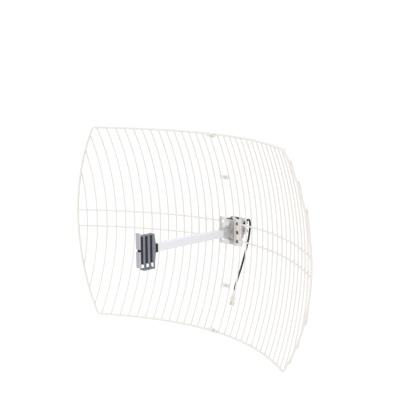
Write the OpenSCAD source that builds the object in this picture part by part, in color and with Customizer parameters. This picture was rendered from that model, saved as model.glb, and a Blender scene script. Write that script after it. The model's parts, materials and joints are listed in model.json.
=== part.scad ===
// Parabolic grid antenna that clamps to a mast. Millimetres, +Z up, and the grid looks towards -Y.
// The origin is on the mast's axis, level with the middle of the clamp and of the feed.

/* [Grid] */
// Overall width of the grid
dish_w = 1000; // [960:10:1040]
// Overall height of the grid
dish_h = 606; // [560:2:640]
// Focal length of the paraboloid
focal = 320; // [310:5:340]
// How far each side of the rim bows out past its corners
side_bow = 96; // [84:2:104]
// Radius of the rim's four corners, on the middle of the rod
corner_r = 14; // [10:1:20]
// Diameter of the rim rod
rim_d = 6.5; // [5.5:0.5:7]
// Diameter of the upright wires
wire_d = 4; // [3:0.25:4]
// Diameter of the crossbars
bar_d = 5; // [4:0.25:5]
// Height of each crossbar above or below the axis
bar_z = 26; // [22:1:30]
// Distance from the middle line to the first upright wire
first_x = 17; // [16.8:0.1:17.5]
// How far the middle of the grid lies above the middle of the feed
grid_rise = 4; // [0:0.5:6]

/* [Centre plates] */
// Height of each centre plate
plate_h = 83; // [80:1:90]
// Inner edge of a centre plate, from the middle line
plate_in = 14.5; // [14:0.5:16]
// Outer edge of a centre plate, from the middle line
plate_out = 48; // [46.5:0.5:50]
// Thickness of the sheet
plate_t = 2; // [1.5:0.25:2.5]
// Height of each joint tab between the two halves
tab_h = 12; // [10:1:14]

/* [Feed] */
// Side of the square feed arm
arm_w = 22; // [20:0.5:24]
// Wall of the feed arm
arm_wall = 1.5; // [1:0.25:2]
// Height of the feed head's cage above the axis
cage_up = 42; // [42:1:50]
// Height of the feed head's cage below the axis
cage_down = 59; // [54:1:62]
// Half the height of the two splash plates together
splash_reach = 50; // [48:1:54]
// Diameter of the coaxial cable
coax_d = 6.1; // [5:0.1:6.4]

/* [Mount] */
// Diameter of the mast that the saddle fits
mast_d = 38; // [38:0.5:40]
// Height of each U-bolt above or below the axis
u_bolt_z = 13; // [12:0.5:14]
// Largest tilt up or down that the arc slot allows, in degrees
tilt_range = 15; // [10:1:15]

/* [Hidden] */
$fn = 48;

wires_per_side = 18;
group_size = 6;
outline_x = dish_w/2 - 1;
outline_z = dish_h/2 - 1;
edge_gap = 23;
pitch = (outline_x - edge_gap - first_x)/(wires_per_side - 1);
rod_start = 14;
// The rim and the crossbars lie on the front of the wires.
weld_gap = 0.05;
rim_lift = (wire_d + rim_d)/2 + weld_gap;
bar_lift = (wire_d + bar_d)/2 + weld_gap;

// Each side of the outline is one arc, with a small arc at each corner.
side_r = (outline_z*outline_z + side_bow*side_bow)/(2*side_bow);
side_cx = outline_x - side_r;
corner_cz = outline_z - corner_r;
corner_cx = side_cx + sqrt(pow(side_r - corner_r, 2) - pow(corner_cz, 2));
corner_angle = atan2(corner_cz, corner_cx - side_cx);

// The clamp's parts and the tilt hinge lie behind the grid. vertex is the middle of the paraboloid.
vertex = [51, -61, 0];
back_y = 1.85;
bracket_y = back_y + plate_t;
bracket_t = 3;
bracket_back = bracket_y + bracket_t;
bracket_reach = 39;
mast_r = mast_d/2;
m8_r = 4;
pivot_y = 34;
pivot_z = -34;
lock_z = 30;
slot_r = lock_z - pivot_z;
ear_x = -24;
ear_t = 3;
turning_gap = 0.3;
mast_plate_t = 4;
mast_plate_x = ear_x - turning_gap;
mast_x = -51;
mast_y = 61;
u_bend_r = 24;
u_bend_x = mast_x - mast_r + u_bend_r - m8_r;
u_end_x = -13;
flat_washer_t = 1.6;
spring_washer_t = 2;
m8_nut_h = 6.5;
m8_flats = 13;

// The flange casting, the arm and the feed head, along the axis.
flange_front = -5;
flange_back = -1.95;
flange_w = 29;
flange_h = 76;
flange_bolt_z = 27.5;
socket_front = -36;
socket_w = 28;
arm_back = -12;
arm_front = -300;
collar_front = -306;
cage_back = -310;
cage_front = -361;
cage_x = 9.5;
cover_x = 6.8;
cover_z = 40;
cover_back = -314;
cover_wall = 1.4;
splash_front = -365;
coax_r = coax_d/2;
coax_clear = 0.1;
gland_back = 22;

// Points along the middle of the loose cable, from the gland to the connector.
cable_route = [
    [0, 22, 0], [0.1, 28, 0.1], [1.4, 36.2, 2.5], [5.7, 46.5, 11.4], [8.1, 56.4, 21.9],
    [5.9, 69.6, 27], [0.4, 82.3, 22.9], [-4.4, 89.9, 11.4], [-6.8, 92.1, -2.9],
    [-7.4, 90.3, -17.5], [-6.5, 86.5, -32], [-5.5, 81, -46], [-4, 75, -59.5], [-2.5, 66, -78],
    [-1, 56, -99], [0, 46.5, -119], [0.5, 36.5, -138], [0.5, 27.5, -156], [0, 20, -173],
    [0, 16, -187]
];
connector_end = cable_route[len(cable_route) - 1];
connector_tilt = 16;

steel = [0.76, 0.77, 0.78];
paint = [0.87, 0.85, 0.82];
plastic = [0.48, 0.50, 0.55];
black = [0.12, 0.12, 0.13];
nickel = [0.80, 0.76, 0.70];
brass = [0.80, 0.66, 0.36];

// ---- The paraboloid ----

function surface_y(x, z) = -(x*x + z*z)/(4*focal);

function unit(v) = v/norm(v);

function surface_normal(x, z) = unit([-x/(2*focal), -1, -z/(2*focal)]);

function in_front(x, z, lift) = [x, surface_y(x, z), z] + lift*surface_normal(x, z);

// Where the outline's side is at height z
function side_x(z) = side_cx + sqrt(side_r*side_r - z*z);

// How high an upright wire at x reaches
function wire_top(x) = x < corner_cx ? outline_z : sqrt(side_r*side_r - pow(x - side_cx, 2));

function arc_points(cx, cz, r, from, to, steps) = [
    for (i = [0 : steps])
        let (a = from + (to - from)*i/steps)
            [cx + r*cos(a), cz + r*sin(a)]
];

// Half of the outline as [x, z] points, from the top middle round the side to the bottom middle
function half_outline() = concat(
    [for (i = [0 : 9]) [rod_start + (corner_cx - rod_start)*i/10, outline_z]],
    arc_points(corner_cx, corner_cz, corner_r, 90, corner_angle, 4),
    [for (i = [1 : 19]) let (a = corner_angle*(1 - i/10)) [side_cx + side_r*cos(a), side_r*sin(a)]],
    arc_points(corner_cx, -corner_cz, corner_r, -corner_angle, -90, 4),
    [for (i = [9 : -1 : 0]) [rod_start + (corner_cx - rod_start)*i/10, -outline_z]]
);

// ---- Shared shapes ----

function tangent(path, i) = unit(path[min(i + 1, len(path) - 1)] - path[max(i - 1, 0)]);

// A round rod along a path. facing holds, for each point, a direction that lies across the path.
module swept_rod(path, facing, d, sides) {
    last = len(path) - 1;
    points = [
        for (i = [0 : last])
            let (t = tangent(path, i))
            let (u = unit(facing[i] - (facing[i]*t)*t))
            let (v = cross(t, u))
            for (k = [0 : sides - 1])
                path[i] + d/2*(cos(360*k/sides)*u + sin(360*k/sides)*v)
    ];
    walls = [
        for (i = [0 : last - 1], k = [0 : sides - 1])
            let (a = i*sides + k, b = i*sides + (k + 1)%sides)
                each [[a, a + sides, b + sides], [a, b + sides, b]]
    ];
    start_cap = [for (k = [0 : sides - 1]) k];
    end_cap = [for (k = [sides - 1 : -1 : 0]) last*sides + k];
    polyhedron(points = points, faces = concat(walls, [start_cap, end_cap]));
}

// Moves a part from the paraboloid's own place to its place beside the mast.
module at_vertex() {
    translate(vertex) children();
}

// The same for a part of the grid, which is set higher than the feed.
module at_grid() {
    at_vertex() translate([0, 0, grid_rise]) children();
}

// A hexagon-headed bolt along +Z: its head is below z = 0 and its shank above.
module hex_bolt(d, flats, head_h, length) {
    translate([0, 0, -head_h]) cylinder(d = flats/cos(30), h = head_h, $fn = 6);
    cylinder(d = d, h = length);
}

module hex_nut(d, flats, h) {
    difference() {
        cylinder(d = flats/cos(30), h = h, $fn = 6);
        translate([0, 0, -1]) cylinder(d = d + 0.1, h = h + 2);
    }
}

module washer(d, outer_d, t) {
    difference() {
        cylinder(d = outer_d, h = t);
        translate([0, 0, -1]) cylinder(d = d + 0.4, h = t + 2);
    }
}

// A split spring washer
module spring_washer(d, outer_d, t) {
    difference() {
        washer(d, outer_d, t);
        translate([0, -0.5, -1]) cube([outer_d, 1, t + 2]);
    }
}

// Turns a part that is drawn along +Z so that it runs towards +Y or towards -X.
module along_back(y) {
    translate([0, y, 0]) rotate([-90, 0, 0]) children();
}

module along_left(x) {
    translate([x, 0, 0]) rotate([0, -90, 0]) children();
}

// ---- The grid ----

// One upright wire: an arc through the paraboloid's points at its middle and its two ends
module upright_wire(x) {
    top = wire_top(abs(x));
    sag = top*top/(4*focal);
    bend_r = 2*focal + sag/2;
    half_angle = asin(top/bend_r);
    translate([x, surface_y(x, 0) - bend_r, 0])
        rotate([90, 0, 90])
            rotate_extrude(angle = 2*half_angle, start = -half_angle)
                translate([bend_r, 0]) circle(d = wire_d, $fn = 24);
}

// side is -1 for the left half and 1 for the right half; group counts outwards from 0
module wire_group(side, group) {
    color(paint) at_grid()
        for (i = [0 : group_size - 1])
            upright_wire(side*(first_x + pitch*(group*group_size + i)));
}

module half_rim(side) {
    outline = half_outline();
    path = [for (p = outline) in_front(side*p[0], p[1], rim_lift)];
    facing = [for (p = outline) surface_normal(side*p[0], p[1])];
    color(paint) at_grid() swept_rod(path, facing, rim_d, 10);
}

module crossbar(side, level) {
    steps = 22;
    from = first_x + pitch - 4;
    to = side_x(bar_z) - rim_d/2 - 0.4;
    xs = [for (i = [0 : steps]) side*(from + (to - from)*i/steps)];
    path = [for (x = xs) in_front(x, level*bar_z, bar_lift)];
    facing = [for (x = xs) surface_normal(x, level*bar_z)];
    color(paint) at_grid() swept_rod(path, facing, bar_d, 8);
}

// Both centre plates are the same pressing, so their slots are off the middle to the same side.
module centre_plate(left_edge) {
    width = plate_out - plate_in;
    slot_x = 12;
    slot_w = 9.5;
    slot_h = 9.5;
    slot_pitch = 27;
    corner = 5;
    color(paint) at_vertex() translate([left_edge, back_y + plate_t, 0]) rotate([90, 0, 0])
        linear_extrude(plate_t) difference() {
            hull() for (x = [corner, width - corner], z = [-1, 1])
                translate([x, z*(plate_h/2 - corner)]) circle(corner);
            for (row = [-1 : 1]) translate([slot_x, row*slot_pitch])
                square([slot_w, slot_h], center = true);
        }
}

// Places children on the middle line at height z, square to the grid and lift in front of it.
module on_middle_line(z, lift) {
    translate([0, surface_y(first_x, z), z])
        rotate([atan(z/(2*focal)), 0, 0])
            translate([0, -lift, 0]) children();
}

tab_t = 2;
tab_bolt_x = 6;
inner_tab_z = 167;
// Each tab joint is [height, how far in front of the wires it lies].
tab_places = [
    [outline_z - 2, wire_d/2 + rim_d],
    [inner_tab_z, wire_d/2],
    [-inner_tab_z, wire_d/2],
    [-outline_z + 2, wire_d/2 + rim_d]
];

// The tab runs from x = from to x = to on its layer, 0 for the one on the wires and 1 in front.
module joint_tabs(from, to, layer) {
    color(paint) at_grid() for (place = tab_places)
        on_middle_line(place[0], place[1] + layer*tab_t)
            difference() {
                translate([from, -tab_t, -tab_h/2]) cube([to - from, tab_t, tab_h]);
                translate([tab_bolt_x, -tab_t - 1, 0]) rotate([-90, 0, 0])
                    cylinder(d = 5.4, h = tab_t + 2);
            }
}

module tab_bolts() {
    color(steel) at_grid() for (place = tab_places)
        on_middle_line(place[0], place[1])
            translate([tab_bolt_x, 0, 0]) along_back(-2*tab_t) hex_bolt(5, 8, 3.5, 12);
}

module tab_nuts() {
    color(steel) at_grid() for (place = tab_places)
        on_middle_line(place[0], place[1])
            translate([tab_bolt_x, 0, 0]) along_back(0) hex_nut(5, 8, 4);
}

// ---- The feed ----

m10 = 10;
m10_flats = 16;
m10_washer_d = 20;
m10_head_h = 6.4;

// Two bolt bosses on a strip, with a square socket for the arm between them
module feed_flange() {
    color(steel) at_vertex() difference() {
        union() {
            translate([-flange_w/2, flange_front, -flange_h/2])
                cube([flange_w, flange_back - flange_front, flange_h]);
            translate([-socket_w/2, socket_front, -socket_w/2])
                cube([socket_w, flange_front - socket_front, socket_w]);
        }
        translate([-arm_w/2 - 0.1, socket_front - 1, -arm_w/2 - 0.1])
            cube([arm_w + 0.2, arm_back - socket_front + 1, arm_w + 0.2]);
        along_back(arm_back - 1) cylinder(d = 12, h = 20);
        for (z = [-1, 1]) translate([0, 0, z*flange_bolt_z])
            along_back(flange_front - 1) cylinder(d = m10 + 0.5, h = 10);
        along_screw() translate([0, 0, -3]) cylinder(d = 4.1, h = 6);
    }
}

screw_y = -24;

// The screw that holds the arm goes in through the top of the socket.
module along_screw() {
    translate([0, screw_y, socket_w/2]) rotate([180, 0, 0]) children();
}

module arm_screw() {
    color(steel) at_vertex() along_screw() hex_bolt(4, 7, 2.8, 5);
}

module feed_arm() {
    bore_w = arm_w - 2*arm_wall;
    color([0.83, 0.83, 0.87]) at_vertex() difference() {
        translate([-arm_w/2, arm_front, -arm_w/2]) cube([arm_w, arm_back - arm_front, arm_w]);
        translate([-bore_w/2, arm_front - 1, -bore_w/2])
            cube([bore_w, arm_back - arm_front + 2, bore_w]);
        along_screw() translate([0, 0, -1]) cylinder(d = 4.2, h = 8);
    }
}

module feed_bolt(level) {
    color(steel) at_vertex() translate([0, 0, level*flange_bolt_z])
        along_back(flange_front - 2) hex_bolt(m10, m10_flats, m10_head_h, 24);
}

module feed_washer(level) {
    color(steel) at_vertex() translate([0, 0, level*flange_bolt_z])
        along_back(flange_front - 2) washer(m10, m10_washer_d, 2);
}

module feed_nut(level) {
    color(steel) at_vertex() translate([0, 0, level*flange_bolt_z])
        along_back(bracket_back) hex_nut(m10, m10_flats, 8);
}

module coax_hole(from, to) {
    along_back(from) cylinder(r = coax_r + coax_clear, h = to - from);
}

// The black collar closes the front end of the arm: a spigot fits in the tube.
module feed_collar() {
    collar_w = 25;
    spigot_w = arm_w - 2*arm_wall - 0.2;
    color(black) at_vertex() difference() {
        union() {
            translate([-collar_w/2, collar_front, -collar_w/2])
                cube([collar_w, arm_front - collar_front, collar_w]);
            translate([-spigot_w/2, arm_front, -spigot_w/2]) cube([spigot_w, 10, spigot_w]);
        }
        coax_hole(collar_front - 1, arm_front + 11);
    }
}

// Each rib is [back y, front y, leg's back y, leg's front y]; the leg is its slimmer foot.
ribs = [
    [-310, -318.5, -310, -314.5],
    [-328, -335.5, -328.5, -331.5],
    [-346, -352.5, -347, -350]
];

// The grey cage: three ribs round the cover, joined by a rail above and a rail below
module feed_cage() {
    rail_t = 4;
    rail_front = ribs[2][3];
    inner_x = cover_x + 0.1;
    color(plastic) at_vertex() difference() {
        union() {
            for (rib = ribs) {
                translate([-cage_x, rib[1], -cover_z - 1])
                    cube([2*cage_x, rib[0] - rib[1], cover_z + 1 + cage_up]);
                translate([-cage_x, rib[3], -cage_down])
                    cube([2*cage_x, rib[2] - rib[3], cage_down]);
            }
            translate([-cage_x + 1, cage_front, cover_z + 0.1])
                cube([2*cage_x - 2, cage_back - cage_front, cage_up - cover_z - 0.6]);
            translate([-cage_x + 1, rail_front, -cage_down])
                cube([2*cage_x - 2, cage_back - rail_front, rail_t]);
            feed_neck();
        }
        translate([-inner_x, cage_front - 1, -cover_z - 0.1])
            cube([2*inner_x, cover_back - cage_front + 1.1, 2*cover_z + 0.2]);
        translate([-inner_x, cage_front - 1, -cage_down + rail_t])
            cube([2*inner_x, cage_back - cage_front + 2, cage_down - rail_t - cover_z]);
        coax_hole(cover_back - 1, collar_front + 1);
    }
}

// The wall behind the cover narrows from the cage to the collar.
module feed_neck() {
    translate([-cage_x, 0, 0]) rotate([90, 0, 90]) linear_extrude(2*cage_x)
        polygon([
            [cover_back + 0.1, cage_up - 2], [cage_back, cage_up - 2], [cage_back + 3, 20],
            [collar_front, 12], [collar_front, -12], [cage_back + 3, -20],
            [cage_back, -cage_up], [cover_back + 0.1, -cage_up]
        ]);
}

module dipole_cover() {
    inner_x = cover_x - cover_wall;
    depth = cover_back - cage_front;
    color(black) at_vertex() difference() {
        translate([-cover_x, cage_front, -cover_z]) cube([2*cover_x, depth, 2*cover_z]);
        translate([-inner_x, cage_front + cover_wall, -cover_z + cover_wall])
            cube([2*inner_x, depth - 2*cover_wall, 2*(cover_z - cover_wall)]);
        coax_hole(cover_back - cover_wall - 1, cover_back + 1);
    }
}

// level is 1 for the upper plate and -1 for the lower one. Two grooves run down each front.
module splash_plate(level) {
    half_w = 8.5;
    gap = 3.5;
    groove_w = 2;
    low = level > 0 ? gap : -splash_reach;
    color([0.60, 0.62, 0.66]) at_vertex() difference() {
        translate([-half_w, splash_front, low])
            cube([2*half_w, cage_front - splash_front, splash_reach - gap]);
        for (x = [-1, 1]) translate([x*3.5 - groove_w/2, splash_front - 1, low - 1])
            cube([groove_w, 2, splash_reach]);
    }
}

// The dipole stands at the focus: two arms, a block between them and a stub to the cable
module dipole() {
    rod_r = 2;
    reach = 29;
    color(brass) at_vertex() {
        translate([0, -focal, 3]) cylinder(r = rod_r, h = reach - 3);
        translate([0, -focal, -reach]) cylinder(r = rod_r, h = reach - 3);
        translate([-3, -focal - 3, -3]) cube([6, 6, 6]);
    }
}

module feed_coax() {
    start = -focal + 3;
    color(black) at_vertex() along_back(start) cylinder(r = coax_r, h = gland_back - start);
}

// A flanged rubber sleeve behind the bracket, tapering along the cable
module cable_gland() {
    neck_r = 6;
    color(black) at_vertex() rotate([-90, 0, 0]) rotate_extrude()
        polygon([
            [coax_r + coax_clear, bracket_y - 1], [neck_r, bracket_y - 1], [neck_r, bracket_back],
            [8.5, bracket_back], [8.5, bracket_back + 3], [6.5, bracket_back + 4],
            [4.2, gland_back], [coax_r + coax_clear, gland_back]
        ]);
}

// ---- The loose cable and its connector ----

module pigtail() {
    color(black) at_vertex()
        swept_rod(cable_route, [for (p = cable_route) [1, 0, 0]], coax_d, 10);
}

// Turns a connector part so that it runs on from the end of the cable.
module at_cable_end() {
    at_vertex() translate(connector_end) rotate([180 - connector_tilt, 0, 0]) children();
}

ferrule_h = 12;

module connector_ferrule() {
    color(nickel) at_cable_end() difference() {
        cylinder(d = 8, h = ferrule_h);
        translate([0, 0, ferrule_h - 4]) cylinder(d = coax_d, h = 5);
    }
}

// A jack: hexagon, shoulder, threaded barrel and its inside
module connector_body() {
    barrel_h = 12;
    color(nickel) at_cable_end() translate([0, 0, ferrule_h]) difference() {
        union() {
            cylinder(d = 12, h = 6);
            translate([0, 0, 6]) cylinder(d = 15/cos(30), h = 8, $fn = 6);
            translate([0, 0, 14]) cylinder(d = 18, h = 3);
            translate([0, 0, 17]) cylinder(d = 13.5, h = 5);
            translate([0, 0, 22]) cylinder(d = 15.88, h = barrel_h);
        }
        translate([0, 0, 20]) cylinder(d = 8.6, h = 20);
        translate([0, 0, 14]) cylinder(d = 7, h = 10);
    }
}

module connector_insulator() {
    color("white") at_cable_end() translate([0, 0, ferrule_h + 14]) difference() {
        cylinder(d = 6.9, h = 10);
        translate([0, 0, -1]) cylinder(d = 3.1, h = 20);
    }
}

module connector_contact() {
    color(brass) at_cable_end() translate([0, 0, ferrule_h + 14]) cylinder(d = 3, h = 14);
}

// ---- The tilt bracket and the mast clamp ----

// Drawn with x as the part's Y and y as its Z, then stood up with its right face at x.
module side_sheet(x, t) {
    translate([x - t, 0, 0]) rotate([90, 0, 90]) linear_extrude(t) children();
}

function slot_point(a, r) = [pivot_y + r*sin(a), pivot_z + r*cos(a)];

// A band about the pivot, from angle a to angle b, with straight chords 2 degrees long
module band(inner_r, outer_r, a, b) {
    steps = ceil((b - a)/2);
    polygon(concat(
        [for (i = [0 : steps]) slot_point(a + (b - a)*i/steps, outer_r)],
        [for (i = [steps : -1 : 0]) slot_point(a + (b - a)*i/steps, inner_r)]
    ));
}

module bracket_ear() {
    root_d = 6.4;
    band_in = slot_r - 7.5;
    band_out = slot_r + 6.5;
    slot_half = m8_r + 0.25;
    difference() {
        union() {
            translate([bracket_y, -bracket_reach]) square([root_d, 2*bracket_reach]);
            intersection() {
                band(band_in, band_out, -32, tilt_range + 8);
                translate([bracket_y, 0]) square([80, bracket_reach]);
            }
            hull() {
                translate([pivot_y, pivot_z]) circle(9);
                translate([bracket_y, -bracket_reach]) square([root_d, 15]);
            }
        }
        band(slot_r - slot_half, slot_r + slot_half, -tilt_range, tilt_range);
        for (a = [-tilt_range, tilt_range]) translate(slot_point(a, slot_r)) circle(slot_half);
    }
}

// One pressing: a back plate behind the centre plates, an ear on its left and a lip on its right
module tilt_bracket() {
    right = 40;
    lip_d = 12;
    color(steel) at_vertex() difference() {
        union() {
            translate([ear_x, bracket_y, -bracket_reach])
                cube([right - ear_x, bracket_t, 2*bracket_reach]);
            side_sheet(ear_x + ear_t, ear_t) bracket_ear();
            translate([right - bracket_t, bracket_y, -16]) cube([bracket_t, lip_d, 32]);
        }
        for (z = [-1, 1]) translate([0, 0, z*flange_bolt_z])
            along_back(bracket_y - 1) cylinder(d = m10 + 0.5, h = bracket_t + 2);
        along_back(bracket_y - 1) cylinder(r = 6.1, h = bracket_t + 2);
        translate([0, pivot_y, pivot_z]) along_left(ear_x + ear_t + 1)
            cylinder(r = m8_r + 0.05, h = ear_t + 2);
    }
}

u_leg_places = [for (y = [-1, 1], z = [-1, 1]) [mast_y + y*u_bend_r, z*u_bolt_z]];

// The flat plate on the mast side, with the pivot, lock and U-bolt holes
module mast_plate() {
    rear = mast_y + 33;
    color(steel) at_vertex() difference() {
        side_sheet(mast_plate_x, mast_plate_t) hull() {
            translate([pivot_y, pivot_z]) circle(10);
            translate([pivot_y, lock_z]) circle(10);
            for (z = [-1, 1]) translate([rear - 8, z*(u_bolt_z + 5)]) circle(8);
        }
        for (place = concat(u_leg_places, [[pivot_y, pivot_z], [pivot_y, lock_z]]))
            translate([0, place[0], place[1]]) along_left(mast_plate_x + 1)
                cylinder(r = m8_r + 0.25, h = mast_plate_t + 2);
    }
}

// A cast cradle between the plate and the mast
module mast_saddle() {
    right = mast_plate_x - mast_plate_t;
    depth = 13;
    half_y = 18.5;
    half_z = 21;
    color(steel) at_vertex() difference() {
        translate([right - depth, mast_y - half_y, -half_z]) cube([depth, 2*half_y, 2*half_z]);
        translate([mast_x, mast_y, -half_z - 1]) cylinder(r = mast_r, h = 2*half_z + 2, $fn = 96);
    }
}

module u_bolt(level) {
    color(steel) at_vertex() translate([u_bend_x, mast_y, level*u_bolt_z]) {
        rotate_extrude(angle = 180, start = 90, $fn = 96)
            translate([u_bend_r, 0]) circle(r = m8_r, $fn = 24);
        for (y = [-1, 1]) translate([0, y*u_bend_r, 0]) rotate([0, 90, 0])
            cylinder(r = m8_r, h = u_end_x - u_bend_x, $fn = 24);
    }
}

// Children run towards +X from x at each U-bolt leg.
module at_u_legs(x) {
    at_vertex() for (place = u_leg_places)
        translate([x, place[0], place[1]]) rotate([0, 90, 0]) children();
}

module u_bolt_washers() {
    color(steel) at_u_legs(mast_plate_x) washer(2*m8_r, 16, flat_washer_t);
}

module u_bolt_spring_washers() {
    color(steel) at_u_legs(mast_plate_x + flat_washer_t)
        spring_washer(2*m8_r, 14, spring_washer_t);
}

module u_bolt_nuts() {
    color(steel) at_u_legs(mast_plate_x + flat_washer_t + spring_washer_t)
        hex_nut(2*m8_r, m8_flats, m8_nut_h);
}

// The pivot and the lock bolt both go through the ear and the mast plate, head on the right.
bolt_head_x = ear_x + ear_t + turning_gap + flat_washer_t;
plate_left_x = mast_plate_x - mast_plate_t;

module through_bolt(z) {
    color(steel) at_vertex() translate([0, pivot_y, z]) along_left(bolt_head_x)
        hex_bolt(2*m8_r, m8_flats, 5.3, 25);
}

module through_washers(z) {
    color(steel) at_vertex() translate([0, pivot_y, z]) {
        along_left(bolt_head_x) washer(2*m8_r, 16, flat_washer_t);
        along_left(plate_left_x) washer(2*m8_r, 16, flat_washer_t);
    }
}

module through_nut(z) {
    color(steel) at_vertex() translate([0, pivot_y, z]) along_left(plate_left_x - flat_washer_t)
        hex_nut(2*m8_r, m8_flats, m8_nut_h);
}

wire_group(-1, 0);  // wires_left_inner
wire_group(-1, 1);  // wires_left_middle
wire_group(-1, 2);  // wires_left_outer
wire_group(1, 0);  // wires_right_inner
wire_group(1, 1);  // wires_right_middle
wire_group(1, 2);  // wires_right_outer
half_rim(-1);  // rim_left
half_rim(1);  // rim_right
crossbar(-1, 1);  // crossbar_left_upper
crossbar(-1, -1);  // crossbar_left_lower
crossbar(1, 1);  // crossbar_right_upper
crossbar(1, -1);  // crossbar_right_lower
centre_plate(-plate_out);  // plate_left
centre_plate(plate_in);  // plate_right
joint_tabs(-18.5, 12, 0);  // tabs_left
joint_tabs(0, 18.5, 1);  // tabs_right
tab_bolts();
tab_nuts();
feed_flange();
feed_arm();
arm_screw();
feed_bolt(1);  // feed_bolt_upper
feed_bolt(-1);  // feed_bolt_lower
feed_washer(1);  // feed_washer_upper
feed_washer(-1);  // feed_washer_lower
feed_nut(1);  // feed_nut_upper
feed_nut(-1);  // feed_nut_lower
feed_collar();
feed_cage();
dipole_cover();
splash_plate(1);  // splash_plate_upper
splash_plate(-1);  // splash_plate_lower
dipole();
feed_coax();
cable_gland();
pigtail();
connector_ferrule();
connector_body();
connector_insulator();
connector_contact();
tilt_bracket();
mast_plate();
mast_saddle();
u_bolt(1);  // u_bolt_upper
u_bolt(-1);  // u_bolt_lower
u_bolt_washers();
u_bolt_spring_washers();
u_bolt_nuts();
through_bolt(pivot_z);  // pivot_bolt
through_washers(pivot_z);  // pivot_washers
through_nut(pivot_z);  // pivot_nut
through_bolt(lock_z);  // lock_bolt
through_washers(lock_z);  // lock_washers
through_nut(lock_z);  // lock_nut
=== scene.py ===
import json
import logging
import math
from dataclasses import dataclass, field
from enum import Enum
from typing import Callable, Sequence

import bpy
import numpy as np
from mathutils import Matrix, Vector


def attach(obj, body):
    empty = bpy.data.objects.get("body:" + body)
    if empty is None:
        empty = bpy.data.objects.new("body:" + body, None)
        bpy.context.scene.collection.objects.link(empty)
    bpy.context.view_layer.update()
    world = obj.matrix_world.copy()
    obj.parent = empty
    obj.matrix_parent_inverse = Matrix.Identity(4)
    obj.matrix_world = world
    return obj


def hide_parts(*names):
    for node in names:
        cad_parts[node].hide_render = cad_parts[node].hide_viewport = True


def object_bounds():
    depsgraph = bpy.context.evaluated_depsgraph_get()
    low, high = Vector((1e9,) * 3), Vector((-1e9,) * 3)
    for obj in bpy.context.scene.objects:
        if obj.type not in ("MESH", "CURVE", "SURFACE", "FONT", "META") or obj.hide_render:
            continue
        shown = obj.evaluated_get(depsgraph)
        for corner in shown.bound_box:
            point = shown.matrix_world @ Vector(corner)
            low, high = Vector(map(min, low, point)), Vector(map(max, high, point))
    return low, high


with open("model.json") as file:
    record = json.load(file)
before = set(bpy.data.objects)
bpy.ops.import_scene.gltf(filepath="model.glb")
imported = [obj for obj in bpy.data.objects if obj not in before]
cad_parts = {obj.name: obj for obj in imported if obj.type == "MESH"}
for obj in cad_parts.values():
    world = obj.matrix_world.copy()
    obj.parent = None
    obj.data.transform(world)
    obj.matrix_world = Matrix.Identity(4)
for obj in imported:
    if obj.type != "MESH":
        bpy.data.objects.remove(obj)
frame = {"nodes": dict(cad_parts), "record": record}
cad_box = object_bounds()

log = logging.getLogger("grid_antenna")

MM = 0.001
Point = tuple[float, float, float]
Profile = list[tuple[float, float]]
Object = bpy.types.Object
VERTEX = Vector((0.051, -0.061, 0.0))


class Body(Enum):
    """The two rigid bodies that pieces ride on."""

    MOUNT = "mast_mount"
    ANTENNA = "antenna"


class Axis(Enum):
    """Directions that a turned or pressed piece can face."""

    BACK = (0.0, 1.0, 0.0)
    LEFT = (-1.0, 0.0, 0.0)
    RIGHT = (1.0, 0.0, 0.0)
    DOWN = (0.0, 0.0, -1.0)


def at_vertex(x: float, y: float, z: float) -> Vector:
    """A point given in millimetres from the middle of the grid, in metres in the row frame."""
    return VERTEX + Vector((x, y, z)) * MM


# ---- The paraboloid ----


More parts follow.
